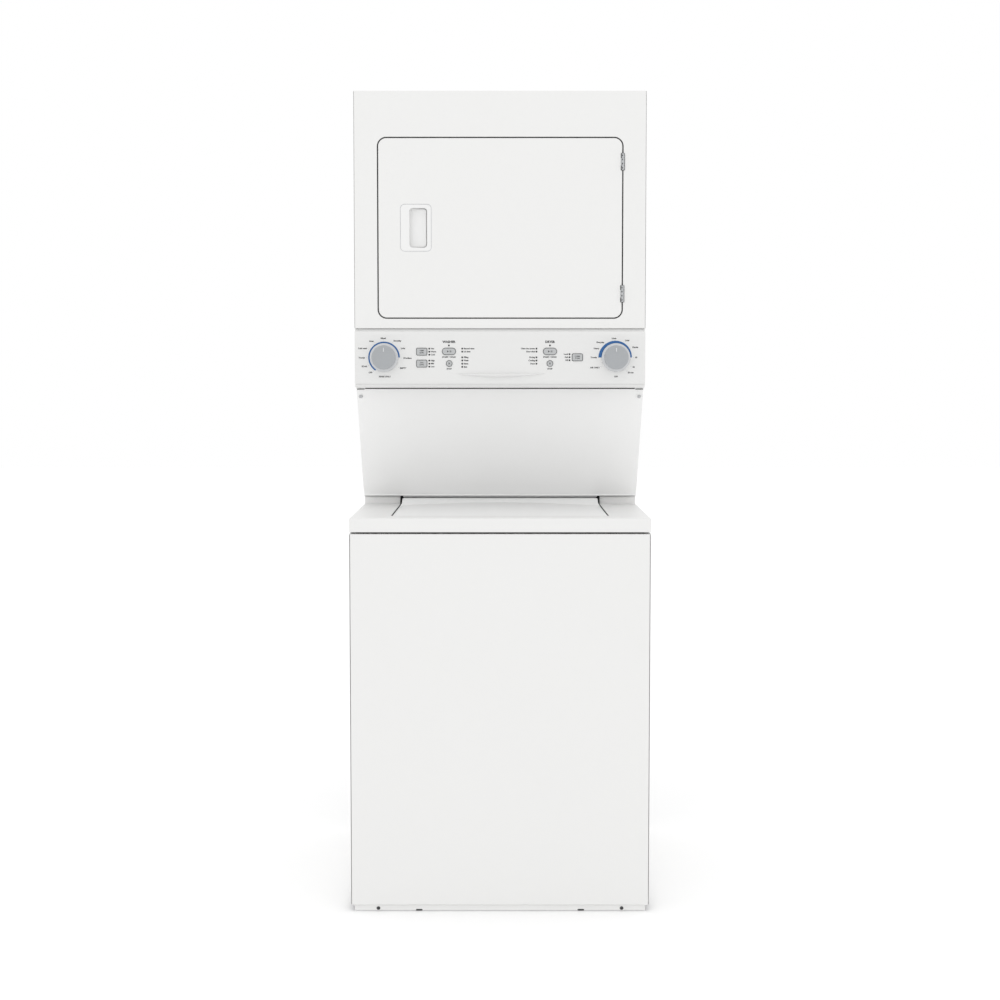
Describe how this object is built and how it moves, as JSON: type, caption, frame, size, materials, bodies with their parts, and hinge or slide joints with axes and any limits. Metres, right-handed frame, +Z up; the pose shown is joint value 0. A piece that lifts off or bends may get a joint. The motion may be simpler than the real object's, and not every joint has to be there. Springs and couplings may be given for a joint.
{
  "type": "laundry centre",
  "caption": "Stacked laundry centre: a top-loading washer below, a front-loading dryer above and a shared control console between them.",
  "frame": {"origin": "on the floor under the middle of the bounding box", "axes": "+Z up, the front faces -Y, +X to the right as seen from the front"},
  "size_m": [0.686, 0.8, 1.894],
  "materials": {
    "white_enamel": "smooth glossy baked enamel",
    "galvanised_steel": "dull zinc coated sheet",
    "console_plastic": "smooth satin moulded plastic",
    "knob_plastic": "satin silver moulded plastic",
    "button_plastic": "satin moulded plastic",
    "tub_plastic": "moulded polypropylene",
    "agitator_plastic": "smooth moulded polypropylene",
    "stainless_steel": "perforated stainless sheet",
    "drum_paint": "powder coated steel",
    "rubber": "matt moulded rubber",
    "motor_paint": "satin black paint",
    "cast_aluminium": "cast",
    "motor_rotor_steel": "turned",
    "hinge_steel": "bright plated",
    "dark_plastic": "moulded nylon",
    "board_green": "solder mask",
    "screen_plastic": "moulded frame with fine mesh"
  },
  "bodies": {
    "root": {"blower_housing": "tub_plastic", "cabinet_frame": "galvanised_steel", "cabinet_screws": "hinge_steel", "console_fascia": "console_plastic", "control_board": "board_green", "drain_pump": "dark_plastic", "dryer_belt": "rubber", "dryer_floor": "galvanised_steel", "dryer_front_panel": "white_enamel", "dryer_motor": "motor_paint", "dryer_rear_panel": "galvanised_steel", "dryer_sides": "white_enamel", "dryer_top_panel": "white_enamel", "exhaust_duct": "galvanised_steel", "frame_hinge_leaves": "hinge_steel", "front_bulkhead": "galvanised_steel", "gearcase": "cast_aluminium", "heater_housing": "galvanised_steel", "hose_fittings": "dark_plastic", "idler_arm": "galvanised_steel", "levelling_feet": "rubber", "outer_tub": "tub_plastic", "rear_bulkhead": "galvanised_steel", "sloped_panel": "white_enamel", "suspension_rods": "motor_rotor_steel", "terminal_cover": "galvanised_steel", "tub_cover": "tub_plastic", "washer_belt": "rubber", "washer_deck": "white_enamel", "washer_front_panel": "white_enamel", "washer_motor": "motor_paint", "washer_rear_panel": "galvanised_steel", "washer_sides": "white_enamel"},
    "door": {"door_outer_panel": "white_enamel", "door_inner_panel": "console_plastic", "door_gasket": "rubber", "handle_cup": "console_plastic", "door_hinge_leaves": "hinge_steel"},
    "lid": {"washer_lid": "white_enamel", "lid_hinge_pins": "hinge_steel"},
    "washer_dial": {"washer_knob": "knob_plastic"},
    "dryer_dial": {"dryer_knob": "knob_plastic"},
    "drum": {"drum_shell": "drum_paint", "drum_baffles": "drum_paint"},
    "rotor": {"motor_rotor": "motor_rotor_steel"},
    "idler": {"idler_pulley": "cast_aluminium"},
    "basket": {"wash_basket": "stainless_steel", "balance_ring": "tub_plastic"},
    "agitator": {"agitator": "agitator_plastic", "agitator_cap": "agitator_plastic"},
    "drive_pulley": {"washer_pulley": "cast_aluminium"},
    "motor_pulley": {"washer_motor_pulley": "cast_aluminium"},
    "lint_screen": {"lint_screen": "screen_plastic"},
    "washer_temperature_button": {"washer_temperature_button": "button_plastic"},
    "washer_soil_button": {"washer_soil_button": "button_plastic"},
    "washer_start_button": {"washer_start_button": "button_plastic"},
    "washer_cancel_button": {"washer_cancel_button": "button_plastic"},
    "dryer_start_button": {"dryer_start_button": "button_plastic"},
    "dryer_cancel_button": {"dryer_cancel_button": "button_plastic"},
    "dryer_signal_button": {"dryer_signal_button": "button_plastic"}
  },
  "joints": [
    {"name": "door_hinge", "type": "hinge", "parent": "root", "child": "door", "pos_m": [0.2876, -0.218, 1.57575], "axis": [0, 0, 1], "range_deg": [0, 160]},
    {"name": "lid_hinge", "type": "hinge", "parent": "root", "child": "lid", "pos_m": [0, 0.06, 0.902], "axis": [-1, 0, 0], "range_deg": [0, 45]},
    {"name": "washer_dial_turn", "type": "hinge", "parent": "root", "child": "washer_dial", "pos_m": [-0.2725, -0.23, 1.2732], "axis": [0, -1, 0], "continuous": true},
    {"name": "dryer_dial_turn", "type": "hinge", "parent": "root", "child": "dryer_dial", "pos_m": [0.2725, -0.23, 1.2732], "axis": [0, -1, 0], "continuous": true},
    {"name": "drum_spin", "type": "hinge", "parent": "root", "child": "drum", "pos_m": [0, 0, 1.575], "axis": [0, 1, 0], "continuous": true},
    {"name": "rotor_spin", "type": "hinge", "parent": "root", "child": "rotor", "pos_m": [0, 0, 1.185], "axis": [0, 1, 0], "continuous": true},
    {"name": "idler_spin", "type": "hinge", "parent": "root", "child": "idler", "pos_m": [0.09144, 0.175, 1.21916], "axis": [0, 1, 0], "continuous": true},
    {"name": "basket_spin", "type": "hinge", "parent": "root", "child": "basket", "pos_m": [0, -0.09, 0.5], "axis": [0, 0, 1], "continuous": true},
    {"name": "agitator_turn", "type": "hinge", "parent": "root", "child": "agitator", "pos_m": [0, -0.09, 0.5], "axis": [0, 0, 1], "continuous": true},
    {"name": "drive_pulley_spin", "type": "hinge", "parent": "root", "child": "drive_pulley", "pos_m": [0, -0.09, 0.098], "axis": [0, 0, 1], "continuous": true},
    {"name": "motor_pulley_spin", "type": "hinge", "parent": "root", "child": "motor_pulley", "pos_m": [0.185, 0.12, 0.098], "axis": [0, 0, 1], "continuous": true},
    {"name": "lint_screen_slide", "type": "slide", "parent": "root", "child": "lint_screen", "axis": [0, 0, 1], "range_m": [0, 0.17]},
    {"name": "washer_temperature_button_press", "type": "slide", "parent": "root", "child": "washer_temperature_button", "axis": [0, 1, 0], "range_m": [0, 0.0015], "stiffness_N_per_m": 500, "springref_m": -0.002},
    {"name": "washer_soil_button_press", "type": "slide", "parent": "root", "child": "washer_soil_button", "axis": [0, 1, 0], "range_m": [0, 0.0015], "stiffness_N_per_m": 500, "springref_m": -0.002},
    {"name": "washer_start_button_press", "type": "slide", "parent": "root", "child": "washer_start_button", "axis": [0, 1, 0], "range_m": [0, 0.0015], "stiffness_N_per_m": 500, "springref_m": -0.002},
    {"name": "washer_cancel_button_press", "type": "slide", "parent": "root", "child": "washer_cancel_button", "axis": [0, 1, 0], "range_m": [0, 0.0015], "stiffness_N_per_m": 500, "springref_m": -0.002},
    {"name": "dryer_start_button_press", "type": "slide", "parent": "root", "child": "dryer_start_button", "axis": [0, 1, 0], "range_m": [0, 0.0015], "stiffness_N_per_m": 500, "springref_m": -0.002},
    {"name": "dryer_cancel_button_press", "type": "slide", "parent": "root", "child": "dryer_cancel_button", "axis": [0, 1, 0], "range_m": [0, 0.0015], "stiffness_N_per_m": 500, "springref_m": -0.002},
    {"name": "dryer_signal_button_press", "type": "slide", "parent": "root", "child": "dryer_signal_button", "axis": [0, 1, 0], "range_m": [0, 0.0015], "stiffness_N_per_m": 500, "springref_m": -0.002}
  ],
  "couplings": [
    {"joint": "rotor_spin", "follows": "drum_spin", "ratio": 21.286},
    {"joint": "idler_spin", "follows": "drum_spin", "ratio": -15.07},
    {"joint": "drive_pulley_spin", "follows": "basket_spin", "ratio": 1},
    {"joint": "motor_pulley_spin", "follows": "basket_spin", "ratio": 4.3182}
  ]
}
